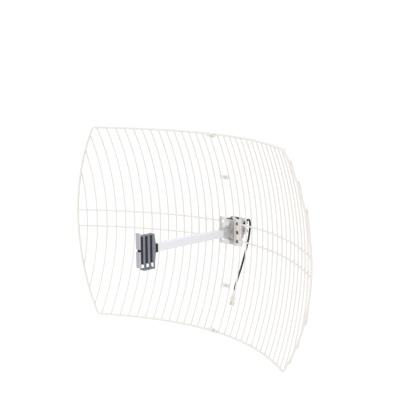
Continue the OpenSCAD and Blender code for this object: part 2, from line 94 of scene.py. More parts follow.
@dataclass(frozen=True)
class Paraboloid:
    """The grid's surface and its outline, in millimetres from its middle."""

    focal: float = 320.0
    half_width: float = 499.0
    half_height: float = 302.0
    side_bow: float = 96.0
    corner_r: float = 14.0
    wire_d: float = 4.0
    rim_d: float = 6.5
    bar_d: float = 5.0
    bar_z: float = 26.0
    weld_gap: float = 0.05
    first_x: float = 17.0
    pitch: float = 27.0
    wires_per_side: int = 18
    group_size: int = 6
    rod_start: float = 14.0
    rise: float = 4.0

    @property
    def side_r(self) -> float:
        """Radius of the arc that each side of the outline follows."""
        return (self.half_height**2 + self.side_bow**2) / (2 * self.side_bow)

    @property
    def side_cx(self) -> float:
        """Where the middle of the side's arc lies."""
        return self.half_width - self.side_r

    @property
    def corner(self) -> tuple[float, float, float]:
        """Middle of the corner's small arc, and the angle at which it meets the side."""
        cz = self.half_height - self.corner_r
        cx = self.side_cx + math.sqrt((self.side_r - self.corner_r) ** 2 - cz**2)
        return cx, cz, math.atan2(cz, cx - self.side_cx)

    @property
    def rim_lift(self) -> float:
        """How far the rim's middle line lies in front of the wires' middle lines."""
        return (self.wire_d + self.rim_d) / 2 + self.weld_gap

    @property
    def bar_lift(self) -> float:
        """How far a crossbar's middle line lies in front of the wires' middle lines."""
        return (self.wire_d + self.bar_d) / 2 + self.weld_gap

    def depth(self, x: float, z: float) -> float:
        """The surface's y at x and z."""
        return -(x * x + z * z) / (4 * self.focal)

    def in_front(self, x: float, z: float, lift: float) -> Vector:
        """The point that lies lift millimetres in front of the surface at x and z.

        Args:
            x: Distance from the middle line.
            z: Height above the axis.
            lift: Distance along the surface's normal.

        Returns:
            The point, in metres in the row frame.
        """
        normal = Vector((-x / (2 * self.focal), -1.0, -z / (2 * self.focal))).normalized()
        return at_vertex(x, self.depth(x, z), z + self.rise) + normal * lift * MM

    def side_x(self, z: float) -> float:
        """Where the outline's side is at height z."""
        return self.side_cx + math.sqrt(self.side_r**2 - z * z)

    def wire_top(self, x: float) -> float:
        """How high an upright wire at x reaches."""
        if abs(x) < self.corner[0]:
            return self.half_height
        return math.sqrt(self.side_r**2 - (abs(x) - self.side_cx) ** 2)

    def wire_xs(self) -> list[float]:
        """Distances of one half's wires from the middle line."""
        return [self.first_x + self.pitch * i for i in range(self.wires_per_side)]

    def half_outline(self) -> list[tuple[float, float]]:
        """One half of the outline, from the top middle round the side to the bottom middle.

        Returns:
            Points (x, z) about 12 mm apart, and 2 mm apart round the corners.
        """
        cx, cz, meet = self.corner
        top = [
            (self.rod_start + (cx - self.rod_start) * i / 34, self.half_height)
            for i in range(34)
        ]
        bend = [
            (cx + self.corner_r * math.cos(a), cz + self.corner_r * math.sin(a))
            for a in np.linspace(math.pi / 2, meet, 9)
        ]
        side = [
            (self.side_cx + self.side_r * math.cos(a), self.side_r * math.sin(a))
            for a in np.linspace(meet, 0, 26)[1:]
        ]
        upper = top + bend + side
        return upper + [(x, -z) for x, z in reversed(upper[:-1])]


# ---- Modelling steps ----


class Bench:
    """The modelling steps that every sub-assembly uses."""

    @staticmethod
    def clear() -> None:
        """Leaves edit mode and selects nothing."""
        if bpy.context.object and bpy.context.object.mode != "OBJECT":
            bpy.ops.object.mode_set(mode="OBJECT")
        bpy.ops.object.select_all(action="DESELECT")

    @staticmethod
    def pick(*objects: Object) -> Object:
        """Selects these objects only, and makes the first one active.

        Args:
            objects: What to select.

        Returns:
            The first object.
        """
        Bench.clear()
        for one in objects:
            one.select_set(True)
        bpy.context.view_layer.objects.active = objects[0]
        return objects[0]

    @staticmethod
    def edit(piece: Object) -> None:
        """Opens a piece in edit mode with everything in it selected.

        Args:
            piece: The mesh piece.
        """
        Bench.pick(piece)
        bpy.ops.object.mode_set(mode="EDIT")
        bpy.ops.mesh.select_mode(type="VERT")
        bpy.ops.mesh.select_all(action="SELECT")

    @staticmethod
    def close() -> None:
        """Leaves edit mode."""
        bpy.ops.object.mode_set(mode="OBJECT")

    @staticmethod
    def settle(piece: Object) -> Object:
        """Moves the piece's place into its mesh, so that its object sits at the origin."""
        Bench.pick(piece)
        bpy.ops.object.transform_apply(location=True, rotation=True, scale=True)
        return piece

    @staticmethod
    def place(piece: Object, at: Vector, facing: Sequence[float], spin: float = 0.0) -> Object:
        """Turns a piece that was made along +Z to face a direction, and moves it there.

        Args:
            piece: A piece made at the origin.
            at: Where its origin goes.
            facing: The direction that its +Z turns to.
            spin: Its turn about its own axis, in degrees.

        Returns:
            The piece, with its place in its mesh.
        """
        turn = Vector(facing).to_track_quat("Z", "Y").to_matrix().to_4x4()
        piece.matrix_world = (
            Matrix.Translation(at) @ turn @ Matrix.Rotation(math.radians(spin), 4, "Z")
        )
        return Bench.settle(piece)

    @staticmethod
    def copy(piece: Object, name: str) -> Object:
        """A copy of a piece, with a mesh of its own.

        Args:
            piece: What to copy.
            name: The copy's name.

        Returns:
            The copy.
        """
        twin = bpy.data.objects.new(name, piece.data.copy())
        bpy.context.scene.collection.objects.link(twin)
        return twin

    @staticmethod
    def drop(*pieces: Object) -> None:
        """Removes patterns that have been copied."""
        for piece in pieces:
            bpy.data.objects.remove(piece)

    @staticmethod
    def join(pieces: Sequence[Object], name: str) -> Object:
        """Joins pieces into one object with a new name.

        Args:
            pieces: At least one piece.
            name: The joined piece's name.

        Returns:
            The joined piece.
        """
        Bench.pick(*pieces)
        if len(pieces) > 1:
            bpy.ops.object.join()
        pieces[0].name = name
        return pieces[0]

    @staticmethod
    def modify(piece: Object, kind: str, **settings: object) -> None:
        """Adds a modifier with these settings and applies it.

        Args:
            piece: The mesh piece.
            kind: The modifier's type, as Blender names it.
            settings: The modifier's own properties.
        """
        Bench.pick(piece)
        modifier = piece.modifiers.new(kind.lower(), kind)
        for key, value in settings.items():
            setattr(modifier, key, value)
        bpy.ops.object.modifier_apply(modifier=modifier.name)

    @staticmethod
    def lathe(name: str, profile: Profile, steps: int = 32, closed: bool = False) -> Object:
        """Turns a profile about the Z axis.

        Args:
            name: The new piece's name.
            profile: Points (radius, height) in millimetres, in order.
            steps: Faces round the turn.
            closed: True for a ring, whose profile runs back to its first point.

        Returns:
            The turned piece, at the origin.
        """
        Bench.clear()
        first = Vector((profile[0][0], 0.0, profile[0][1])) * MM
        bpy.ops.mesh.primitive_plane_add(size=MM, location=first)
        piece = bpy.context.object
        piece.name = name
        Bench.settle(piece)
        Bench.edit(piece)
        bpy.ops.mesh.merge(type="CENTER")
        last = profile[0]
        for radius, height in profile[1:]:
            move = ((radius - last[0]) * MM, 0.0, (height - last[1]) * MM)
            bpy.ops.mesh.extrude_vertices_move(TRANSFORM_OT_translate={"value": move})
            last = (radius, height)
        if closed:
            Bench.close()
            piece.data.vertices[0].select = True
            bpy.ops.object.mode_set(mode="EDIT")
            bpy.ops.mesh.edge_face_add()
        bpy.ops.mesh.select_all(action="SELECT")
        bpy.ops.mesh.spin(
            steps=steps, angle=math.tau, center=(0.0, 0.0, 0.0), axis=(0.0, 0.0, 1.0)
        )
        bpy.ops.mesh.select_all(action="SELECT")
        bpy.ops.mesh.remove_doubles(threshold=MM / 100)
        bpy.ops.mesh.normals_make_consistent(inside=False)
        Bench.close()
        return piece

    @staticmethod
    def hexagon(name: str, flats: float, height: float, bore: float = 0.0) -> Object:
        """A bolt head or a nut: a hexagon whose corners are turned off at both faces.

        Args:
            name: The new piece's name.
            flats: Width across the flats, in millimetres.
            height: Height above z = 0, in millimetres.
            bore: Diameter of a nut's hole, or 0 for a bolt head.

        Returns:
            The piece, at the origin.
        """
        corner = flats / math.cos(math.radians(30)) / 2
        flat = flats * 0.475
        cut = (corner - flat) * math.tan(math.radians(30))
        rise = height - cut
        if bore:
            hole, lead = bore / 2, bore * 0.06
            profile = [
                (hole, lead), (hole + lead, 0), (flat, 0), (corner + 0.2, cut),
                (corner + 0.2, rise), (flat, height), (hole + lead, height), (hole, height - lead),
            ]
        else:
            profile = [
                (0, 0), (flat, 0), (corner + 0.2, cut), (corner + 0.2, rise), (flat, height),
                (flat * 0.5, height - 0.02 * flats), (0, height - 0.03 * flats),
            ]
        cutter = Bench.lathe(name + "_cutter", profile, 48, closed=bool(bore))
        Bench.clear()
        bpy.ops.mesh.primitive_cylinder_add(
            vertices=6, radius=corner * MM, depth=(height + 2) * MM,
            location=(0, 0, height / 2 * MM),
        )
        piece = bpy.context.object
        piece.name = name
        Bench.settle(piece)
        Bench.modify(
            piece, "BOOLEAN", operation="INTERSECT", solver="EXACT", object=cutter
        )
        Bench.drop(cutter)
        return piece

    @staticmethod
    def curve(
        name: str, path: Sequence[Vector] | np.ndarray, diameter: float, round_steps: int
    ) -> Object:
        """A round curve drawn through a path's points, with a cap at both ends.

        Args:
            name: The new piece's name.
            path: Points down its middle, in metres.
            diameter: In millimetres.
            round_steps: Fineness of its section, as Blender's bevel resolution.

        Returns:
            The curve, active and selected.
        """
        Bench.clear()
        bpy.ops.curve.primitive_nurbs_path_add(location=(0, 0, 0))
        piece = bpy.context.object
        piece.name = name
        piece.data.splines.clear()
        spline = piece.data.splines.new("POLY")
        spline.points.add(len(path) - 1)
        for point, place in zip(spline.points, path):
            point.co = (*place, 1.0)
        piece.data.dimensions = "3D"
        piece.data.bevel_depth = diameter / 2 * MM
        piece.data.bevel_resolution = round_steps
        piece.data.use_fill_caps = True
        return piece

    @staticmethod
    def rod(name: str, path: Sequence[Vector], diameter: float, round_steps: int = 3) -> Object:
        """A round rod bent along a path, closed at both ends.

        Args:
            name: The new piece's name.
            path: Points down its middle, in metres.
            diameter: In millimetres.
            round_steps: Fineness of its section, as Blender's bevel resolution.

        Returns:
            The rod as a mesh.
        """
        piece = Bench.curve(name, path, diameter, round_steps)
        bpy.ops.object.convert(target="MESH")
        Bench.edit(piece)
        bpy.ops.mesh.remove_doubles(threshold=MM / 1000)
        bpy.ops.mesh.normals_make_consistent(inside=False)
        Bench.close()
        return piece

    @staticmethod
    def eased(node: str, name: str, width: float, segments: int = 2) -> Object:
        """A copy of a CAD node whose sharp edges are rounded off.

        Args:
            node: The CAD node's name.
            name: The new piece's name.
            width: How wide each edge's rounding is, in millimetres.
            segments: Faces across the rounding.

        Returns:
            The copy, in the node's place.
        """
        piece = Bench.copy(frame["nodes"][node], name)
        piece.data.materials.clear()
        Bench.pick(piece)
        bpy.ops.mesh.customdata_custom_splitnormals_clear()
        Bench.edit(piece)
        bpy.ops.mesh.remove_doubles(threshold=MM / 500)
        bpy.ops.mesh.dissolve_limited(angle_limit=math.radians(0.5))
        Bench.close()
        Bench.modify(
            piece, "BEVEL", width=width * MM, segments=segments, limit_method="ANGLE",
            angle_limit=math.radians(35), offset_type="OFFSET", use_clamp_overlap=True,
            miter_outer="MITER_ARC" if segments > 1 else "MITER_SHARP",
        )
        return piece

    @staticmethod
    def smooth(piece: Object, angle: float = 32.0) -> Object:
        """Shades a piece smooth, apart from edges sharper than the angle in degrees."""
        Bench.pick(piece)
        bpy.ops.object.shade_smooth_by_angle(angle=math.radians(angle))
        return piece


def thread(radius: float, pitch: float, start: float, end: float) -> Profile:
    """The profile of a thread's ridges, drawn as rings.

    Args:
        radius: Outer radius, in millimetres.
        pitch: Distance from ridge to ridge.
        start: Height where the ridges begin.
        end: Height where they stop.

    Returns:
        Points (radius, height) from start to end.
    """
    root = radius - 0.55 * pitch
    count = max(1, int(abs(end - start) / pitch))
    step = (end - start) / count
    points: Profile = [(root, start)]
    for i in range(count):
        low = start + i * step
        points += [
            (radius, low + 0.42 * step), (radius, low + 0.58 * step), (root, low + step)
        ]
    return points


# ---- Finishes ----


class Effects:
    """Shader node groups that several finishes share, each built once."""

    made: dict[str, bpy.types.NodeTree] = {}

    @classmethod
    def group(
        cls,
        name: str,
        inputs: dict[str, tuple[str, object]],
        outputs: dict[str, str],
        wire: Callable[[bpy.types.NodeTree, bpy.types.Node, bpy.types.Node], None],
    ) -> bpy.types.NodeTree:
        """Builds a node group, or gives back the one that has this name.

        Args:
            name: The group's name.
            inputs: Each input's socket type and first value.
            outputs: Each output's socket type.
            wire: Adds the group's nodes, given its tree, its input node and its output node.

        Returns:
            The group's node tree.
        """
        if name not in cls.made:
            tree = bpy.data.node_groups.new(name, "ShaderNodeTree")
            for label, (kind, value) in inputs.items():
                socket = tree.interface.new_socket(name=label, in_out="INPUT", socket_type=kind)
                socket.default_value = value
            for label, kind in outputs.items():
                tree.interface.new_socket(name=label, in_out="OUTPUT", socket_type=kind)
            wire(tree, tree.nodes.new("NodeGroupInput"), tree.nodes.new("NodeGroupOutput"))
            cls.made[name] = tree
        return cls.made[name]

    @classmethod
    def grain(cls) -> bpy.types.NodeTree:
        """Fine surface grain, which can be drawn out along an axis."""

        def wire(tree: bpy.types.NodeTree, start: bpy.types.Node, end: bpy.types.Node) -> None:
            """Two noises of different fineness, added."""
            place = tree.nodes.new("ShaderNodeTexCoord")
            stretch = tree.nodes.new("ShaderNodeVectorMath")
            stretch.operation = "MULTIPLY"
            fine, coarse = (tree.nodes.new("ShaderNodeTexNoise") for _ in range(2))
            half = tree.nodes.new("ShaderNodeMath")
            half.operation = "MULTIPLY"
            half.inputs[1].default_value = 0.37
            blend = tree.nodes.new("ShaderNodeMix")
            blend.inputs[0].default_value = 0.4
            link = tree.links.new
            link(place.outputs["Object"], stretch.inputs[0])
            link(start.outputs["Stretch"], stretch.inputs[1])
            link(start.outputs["Scale"], half.inputs[0])
            for noise, scale in ((fine, start.outputs["Scale"]), (coarse, half.outputs[0])):
                noise.inputs["Detail"].default_value = 3.0
                link(stretch.outputs[0], noise.inputs["Vector"])
                link(scale, noise.inputs["Scale"])
            link(fine.outputs["Fac"], blend.inputs[2])
            link(coarse.outputs["Fac"], blend.inputs[3])
            link(blend.outputs[0], end.inputs["Height"])

        return cls.group(
            "surface_grain",
            {
                "Scale": ("NodeSocketFloat", 1500.0),
                "Stretch": ("NodeSocketVector", (1.0, 1.0, 1.0)),
            },
            {"Height": "NodeSocketFloat"},
            wire,
        )

    @classmethod
    def drift(cls) -> bpy.types.NodeTree:
        """Slow change of tone over a surface, as from handling and dust."""

        def wire(tree: bpy.types.NodeTree, start: bpy.types.Node, end: bpy.types.Node) -> None:
            """One soft noise, spread to the full range."""
            place = tree.nodes.new("ShaderNodeTexCoord")
            noise = tree.nodes.new("ShaderNodeTexNoise")
            noise.inputs["Detail"].default_value = 4.0
            noise.inputs["Roughness"].default_value = 0.6
            spread = tree.nodes.new("ShaderNodeMapRange")
            spread.inputs["From Min"].default_value = 0.35
            spread.inputs["From Max"].default_value = 0.68
            link = tree.links.new
            link(place.outputs["Object"], noise.inputs["Vector"])
            link(start.outputs["Scale"], noise.inputs["Scale"])
            link(noise.outputs["Fac"], spread.inputs["Value"])
            link(spread.outputs["Result"], end.inputs["Mask"])

        return cls.group(
            "tone_drift",
            {"Scale": ("NodeSocketFloat", 40.0)},
            {"Mask": "NodeSocketFloat"},
            wire,
        )

    @classmethod
    def edge_wear(cls) -> bpy.types.NodeTree:
        """A mask of the outer edges, broken up where they are less rubbed."""

        def wire(tree: bpy.types.NodeTree, start: bpy.types.Node, end: bpy.types.Node) -> None:
            """Pointiness over a threshold, times a noise."""
            shape = tree.nodes.new("ShaderNodeNewGeometry")
            edge = tree.nodes.new("ShaderNodeMapRange")
            edge.inputs["From Min"].default_value = 0.53
            edge.inputs["From Max"].default_value = 0.64
            place = tree.nodes.new("ShaderNodeTexCoord")
            noise = tree.nodes.new("ShaderNodeTexNoise")
            noise.inputs["Detail"].default_value = 2.0
            broken = tree.nodes.new("ShaderNodeMapRange")
            broken.inputs["From Min"].default_value = 0.4
            broken.inputs["From Max"].default_value = 0.6
            masked, scaled = (tree.nodes.new("ShaderNodeMath") for _ in range(2))
            masked.operation = scaled.operation = "MULTIPLY"
            link = tree.links.new
            link(shape.outputs["Pointiness"], edge.inputs["Value"])
            link(place.outputs["Object"], noise.inputs["Vector"])
            link(start.outputs["Scale"], noise.inputs["Scale"])
            link(noise.outputs["Fac"], broken.inputs["Value"])
            link(edge.outputs["Result"], masked.inputs[0])
            link(broken.outputs["Result"], masked.inputs[1])
            link(masked.outputs[0], scaled.inputs[0])
            link(start.outputs["Amount"], scaled.inputs[1])
            link(scaled.outputs[0], end.inputs["Mask"])

        return cls.group(
            "edge_wear",
            {"Scale": ("NodeSocketFloat", 250.0), "Amount": ("NodeSocketFloat", 0.5)},
            {"Mask": "NodeSocketFloat"},
            wire,
        )

    @classmethod
    def spangle(cls) -> bpy.types.NodeTree:
        """The crystal flowers of hot-dip zinc, as a value for each crystal."""

        def wire(tree: bpy.types.NodeTree, start: bpy.types.Node, end: bpy.types.Node) -> None:
            """The cells of a Voronoi pattern."""
            place = tree.nodes.new("ShaderNodeTexCoord")
            cells = tree.nodes.new("ShaderNodeTexVoronoi")
            grey = tree.nodes.new("ShaderNodeRGBToBW")
            link = tree.links.new
            link(place.outputs["Object"], cells.inputs["Vector"])
            link(start.outputs["Scale"], cells.inputs["Scale"])
            link(cells.outputs["Color"], grey.inputs[0])
            link(grey.outputs[0], end.inputs["Mask"])

        return cls.group(
            "zinc_spangle",
            {"Scale": ("NodeSocketFloat", 180.0)},
            {"Mask": "NodeSocketFloat"},
            wire,
        )


@dataclass(frozen=True)
class Finish:
    """A surface finish. Colours are linear, and lengths are in millimetres."""

    slot: str
    colour: Point
    shade: Point
    roughness: tuple[float, float]
    metallic: float = 0.0
    grain_size: float = 1.0
    grain_height: float = 0.01
    stretch: Point = (1.0, 1.0, 1.0)
    patch_size: float = 25.0
    edge_colour: Point | None = None
    edge_amount: float = 0.5
    spangled: bool = False
    coat: float = 0.0
    specular: float = 0.5

    def material(self) -> bpy.types.Material:
        """Gives back the material that has the slot's name, or else builds the finish.

        The frame brings a plain material for each slot, and that one is found first, so the
        colours, grain, wear and spangle below aren't on any piece yet.

        Returns:
            The frame's plain material, or the finish where the frame has none.
        """
        if self.slot in bpy.data.materials:
            return bpy.data.materials[self.slot]
        made = bpy.data.materials.new(self.slot)
        made.use_nodes = True
        made.diffuse_color = (*self.colour, 1.0)
        tree = made.node_tree
        link = tree.links.new
        shader = tree.nodes["Principled BSDF"]
        shader.inputs["Metallic"].default_value = self.metallic
        shader.inputs["Coat Weight"].default_value = self.coat
        shader.inputs["Coat Roughness"].default_value = 0.15
        shader.inputs["Specular IOR Level"].default_value = self.specular
        drift = self._effect(tree, Effects.drift(), Scale=1000 / self.patch_size)
        tone = drift.outputs["Mask"]
        if self.spangled:
            tone = self._effect(tree, Effects.spangle(), Scale=170.0).outputs["Mask"]
        colour = self._mix(tree, tone, self.colour, self.shade)
        if self.edge_colour:
            wear = self._effect(tree, Effects.edge_wear(), Amount=self.edge_amount)
            colour = self._mix(tree, wear.outputs["Mask"], colour, self.edge_colour)
        link(colour, shader.inputs["Base Color"])
        grain = self._effect(
            tree, Effects.grain(), Scale=1000 / self.grain_size, Stretch=self.stretch
        )
        rough = tree.nodes.new("ShaderNodeMapRange")
        rough.inputs["From Min"].default_value = 0.3
        rough.inputs["From Max"].default_value = 0.7
        rough.inputs["To Min"].default_value = self.roughness[0]
        rough.inputs["To Max"].default_value = self.roughness[1]
        link(tone if self.spangled else grain.outputs["Height"], rough.inputs["Value"])
        link(rough.outputs["Result"], shader.inputs["Roughness"])
        bump = tree.nodes.new("ShaderNodeBump")
        bump.inputs["Distance"].default_value = self.grain_height * MM
        bump.inputs["Strength"].default_value = 1.0
        link(grain.outputs["Height"], bump.inputs["Height"])
        link(bump.outputs["Normal"], shader.inputs["Normal"])
        return made

    @staticmethod
    def _effect(
        tree: bpy.types.NodeTree, group: bpy.types.NodeTree, **values: object
    ) -> bpy.types.Node:
        """Places a shared effect in a material with its own values.

        Args:
            tree: The material's node tree.
            group: The effect.
            values: The effect's inputs, by name.

        Returns:
            The effect's node.
        """
        node = tree.nodes.new("ShaderNodeGroup")
        node.node_tree = group
        for label, value in values.items():
            node.inputs[label].default_value = value
        return node

    @staticmethod
    def _mix(
        tree: bpy.types.NodeTree,
        mask: bpy.types.NodeSocket,
        low: bpy.types.NodeSocket | Point,
        high: Point,
    ) -> bpy.types.NodeSocket:
        """Blends two colours by a mask and gives the result's socket.

        Args:
            tree: The material's node tree.
            mask: 0 for the low colour, and 1 for the high one.
            low: A colour, or a socket that gives one.
            high: A colour.

        Returns:
            The socket that gives the blend.
        """
        node = tree.nodes.new("ShaderNodeMix")
        node.data_type = "RGBA"
        tree.links.new(mask, node.inputs[0])
        if isinstance(low, bpy.types.NodeSocket):
            tree.links.new(low, node.inputs[6])
        else:
            node.inputs[6].default_value = (*low, 1.0)
        node.inputs[7].default_value = (*high, 1.0)
        return node.outputs[2]


POWDER_COAT = Finish(
    "powder_coat", (0.27, 0.254, 0.236), (0.235, 0.22, 0.204), (0.40, 0.56),
    grain_size=1.6, grain_height=0.05, patch_size=60, edge_colour=(0.31, 0.293, 0.274),
    edge_amount=0.4,
)
# Partly painted reflection: besides the plating's own grey, this base colour is darkened to stand
# in for the dark surroundings that the bolts reflect.
ZINC_STEEL = Finish(
    "zinc_steel", (0.30, 0.305, 0.32), (0.17, 0.17, 0.18), (0.20, 0.40), metallic=1.0,
    grain_size=0.8, grain_height=0.006, patch_size=9, edge_colour=(0.46, 0.46, 0.48),
)
GALVANISED = Finish(
    "galvanised", (0.82, 0.83, 0.84), (0.72, 0.73, 0.74), (0.32, 0.55), metallic=0.9,
    grain_size=1.2, grain_height=0.012, spangled=True, edge_colour=(0.88, 0.89, 0.90),
)
# Painted shade: this near-black steel stands in for the shade seen through the centre plate's
# slots and in the gap beside the flange casting.
PAINTED_SHADE_STEEL = Finish(
    "dark_steel", (0.055, 0.054, 0.051), (0.042, 0.041, 0.039), (0.34, 0.50),
    grain_size=1.0, grain_height=0.03, patch_size=20, edge_colour=(0.085, 0.085, 0.08),
)
CAST_ALLOY = Finish(
    "cast_alloy", (0.50, 0.50, 0.49), (0.41, 0.41, 0.40), (0.42, 0.62), metallic=0.6,
    grain_size=0.7, grain_height=0.03, patch_size=14, edge_colour=(0.60, 0.60, 0.59),
    edge_amount=0.7,
)
ARM_ALUMINIUM = Finish(
    "arm_aluminium", (0.41, 0.41, 0.44), (0.38, 0.38, 0.405), (0.30, 0.46), metallic=0.35,
    grain_size=0.5, grain_height=0.004, stretch=(1.0, 0.02, 1.0), patch_size=70,
    edge_colour=(0.47, 0.47, 0.50),
)
CAGE_GREY = Finish(
    "cage_grey", (0.088, 0.104, 0.122), (0.070, 0.084, 0.100), (0.42, 0.60),
    grain_size=0.6, grain_height=0.02, patch_size=18, edge_colour=(0.112, 0.130, 0.150),
    edge_amount=0.6, specular=0.35,
)
BLACK_PLASTIC = Finish(
    "black_plastic", (0.0055, 0.0055, 0.008), (0.004, 0.004, 0.006), (0.40, 0.58),
    grain_size=0.6, grain_height=0.02, patch_size=15, edge_colour=(0.010, 0.010, 0.013),
    specular=0.06,
)
SPLASH_ALUMINIUM = Finish(
    "splash_aluminium", (0.14, 0.146, 0.157), (0.108, 0.113, 0.122), (0.34, 0.52),
    metallic=0.6, grain_size=0.5, grain_height=0.006, stretch=(1.0, 1.0, 0.03),
    patch_size=30, edge_colour=(0.18, 0.188, 0.20),
)
BRASS = Finish(
    "brass", (0.78, 0.60, 0.28), (0.66, 0.48, 0.20), (0.20, 0.36), metallic=1.0,
    grain_size=0.5, grain_height=0.004, patch_size=6,
)
COAX_JACKET = Finish(
    "coax_jacket", (0.020, 0.020, 0.021), (0.034, 0.033, 0.032), (0.36, 0.50),
    grain_size=0.9, grain_height=0.02, patch_size=20,
)
GLAND_RUBBER = Finish(
    "gland_rubber", (0.024, 0.024, 0.024), (0.040, 0.039, 0.038), (0.60, 0.78),
    grain_size=0.6, grain_height=0.03, patch_size=8,
)
NICKEL = Finish(
    "nickel", (0.70, 0.66, 0.60), (0.60, 0.54, 0.46), (0.12, 0.26), metallic=1.0,
    grain_size=0.5, grain_height=0.004, patch_size=7, edge_colour=(0.86, 0.82, 0.75),
)
PTFE = Finish(
    "ptfe", (0.82, 0.82, 0.79), (0.76, 0.75, 0.72), (0.38, 0.50),
    grain_size=0.5, grain_height=0.006, patch_size=4,
)
FINISHES = (
    POWDER_COAT, ZINC_STEEL, GALVANISED, PAINTED_SHADE_STEEL, CAST_ALLOY, ARM_ALUMINIUM, CAGE_GREY,
    BLACK_PLASTIC, SPLASH_ALUMINIUM, BRASS, COAX_JACKET, GLAND_RUBBER, NICKEL, PTFE,
)


# ---- Viewpoint and studio ----


@dataclass(frozen=True)
class Viewpoint:
    """Where the camera stands. Angles are in degrees, and lengths in metres."""

    azimuth: float = 46.832
    elevation: float = 10.189
    roll: float = -0.628
    distance: float = 3.3795
    aside: float = -0.13253
    above: float = 0.08046
    focal_length: float = 98.2

    def build(self) -> Object:
        """Makes the scene's camera."""
        a, e, r = (math.radians(v) for v in (self.azimuth, self.elevation, self.roll))
        back = Vector((math.sin(a) * math.cos(e), -math.cos(a) * math.cos(e), math.sin(e)))
        level = Vector((math.cos(a), math.sin(a), 0.0))
        upright = back.cross(level)
        right = level * math.cos(r) + upright * math.sin(r)
        up = upright * math.cos(r) - level * math.sin(r)
        data = bpy.data.cameras.new("camera")
        data.lens = self.focal_length
        data.sensor_width = 36.0
        data.clip_start, data.clip_end = 0.1, 200.0
        camera = bpy.data.objects.new("camera", data)
        place = VERTEX + back * self.distance + Vector((self.aside, 0.0, self.above))
        turn = Matrix((right, up, back)).transposed().to_4x4()
        camera.matrix_world = Matrix.Translation(place) @ turn
        bpy.context.scene.collection.objects.link(camera)
        bpy.context.scene.camera = camera
        log.info("camera %.2f m from the grid", self.distance)
        return camera


@dataclass(frozen=True)
class Studio:
    """A plain pale floor under soft white light. Lengths are in metres."""

    floor_drop: float = 0.55
    floor_radius: float = 30.0
    sky_strength: float = 1.12
    key_size: float = 3.0
    key_power: float = 16.0

    def build(self) -> None:
        """Makes the floor, the white surroundings and the key light."""
        self._floor()
        self._surroundings()
        self._light("key_light", (0.3, -0.8, 4.0), self.key_size, self.key_power)
        bpy.context.scene.view_settings.view_transform = "Standard"

    def _floor(self) -> None:
        """A wide round floor, with a ring inset near its edge."""
        Bench.clear()
        low = cad_box[0].z - self.floor_drop
        bpy.ops.mesh.primitive_circle_add(
            vertices=96, radius=self.floor_radius, fill_type="NGON", location=(0, 0, low)
        )
        floor = bpy.context.object
        floor.name = "studio_floor"
        Bench.edit(floor)
        bpy.ops.mesh.inset(thickness=self.floor_radius * 0.1)
        Bench.close()
        Bench.settle(floor)
        paint = bpy.data.materials.new("studio_white")
        paint.use_nodes = True
        shader = paint.node_tree.nodes["Principled BSDF"]
        shader.inputs["Base Color"].default_value = (0.93, 0.93, 0.93, 1.0)
        shader.inputs["Roughness"].default_value = 0.9
        floor.data.materials.append(paint)

    def _surroundings(self) -> None:
        """Even white light from all round."""
        world = bpy.data.worlds.new("studio")
        world.use_nodes = True
        sky = world.node_tree.nodes["Background"]
        sky.inputs["Color"].default_value = (1.0, 1.0, 1.0, 1.0)
        sky.inputs["Strength"].default_value = self.sky_strength
        bpy.context.scene.world = world

    def _light(self, name: str, offset: Point, size: float, power: float) -> None:
        """A soft square light that faces the grid's middle.

        Args:
            name: The light's name.
            offset: Its place from the middle of the grid.
            size: Length of a side.
            power: In watts.
        """
        data = bpy.data.lights.new(name, "AREA")
        data.size, data.energy = size, power
        lamp = bpy.data.objects.new(name, data)
        lamp.location = VERTEX + Vector(offset)
        lamp.rotation_euler = Vector(offset).to_track_quat("Z", "Y").to_euler()
        bpy.context.scene.collection.objects.link(lamp)


# ---- Sub-assemblies ----


class Assembly:
    """A sub-assembly of the antenna: it makes its pieces and hands each one over."""

    body: Body = Body.ANTENNA

    def hand_over(self, piece: Object, finish: Finish, *nodes: str, angle: float = 32.0) -> Object:
        """Shades and paints a piece, hides the CAD nodes it stands for, and hangs it on its body.

        Args:
            piece: The finished piece, with its place in its mesh.
            finish: Its surface.
            nodes: The CAD nodes that it replaces.
            angle: Edges sharper than this, in degrees, stay crisp.

        Returns:
            The piece.
        """
        if piece.type == "MESH":
            Bench.smooth(piece, angle)
        piece.data.materials.clear()
        piece.data.materials.append(finish.material())
        if nodes:
            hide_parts(*nodes)
        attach(piece, self.body.value)
        log.info("%s: %s, on %s", piece.name, finish.slot, self.body.value)
        return piece

    def ease(
        self, node: str, name: str, finish: Finish, width: float, segments: int = 2
    ) -> Object:
        """Hands over a copy of a CAD node with its edges rounded off.

        Args:
            node: The CAD node.
            name: The new piece's name.
            finish: Its surface.
            width: How wide each edge's rounding is, in millimetres.
            segments: Faces across the rounding.

        Returns:
            The piece.
        """
        piece = self.hand_over(Bench.eased(node, name, width, segments), finish, node)
        Bench.modify(piece, "WEIGHTED_NORMAL", keep_sharp=True)
        return piece


